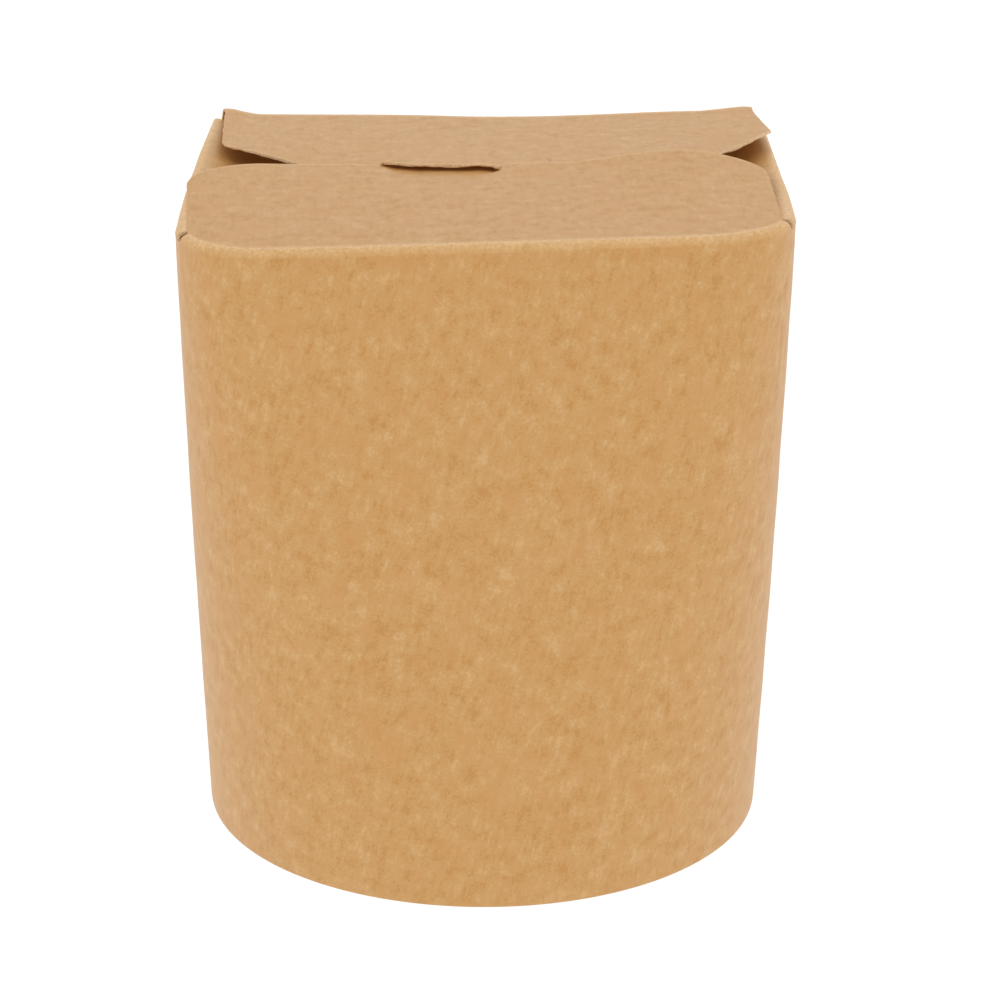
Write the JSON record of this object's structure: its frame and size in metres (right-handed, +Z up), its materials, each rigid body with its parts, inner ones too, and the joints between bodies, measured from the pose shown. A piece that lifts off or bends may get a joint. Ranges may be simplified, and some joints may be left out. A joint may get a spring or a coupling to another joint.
{
  "type": "noodle takeaway box",
  "caption": "Closed kraft board takeaway box: round recessed foot, walls spreading to a rounded square top, front flap locked by a tongue into a slit in the back flap.",
  "frame": {"origin": "centre of the round foot, on the surface it stands on", "axes": "+Z up, -Y towards the front flap's crease, +X to the right as seen from the front"},
  "size_m": [0.0921, 0.09, 0.1068],
  "materials": {
    "kraft_board": "matt uncoated brown kraft board with a faint sheen and fine mottling"
  },
  "bodies": {
    "root": {"carton": "kraft_board"}
  },
  "joints": []
}
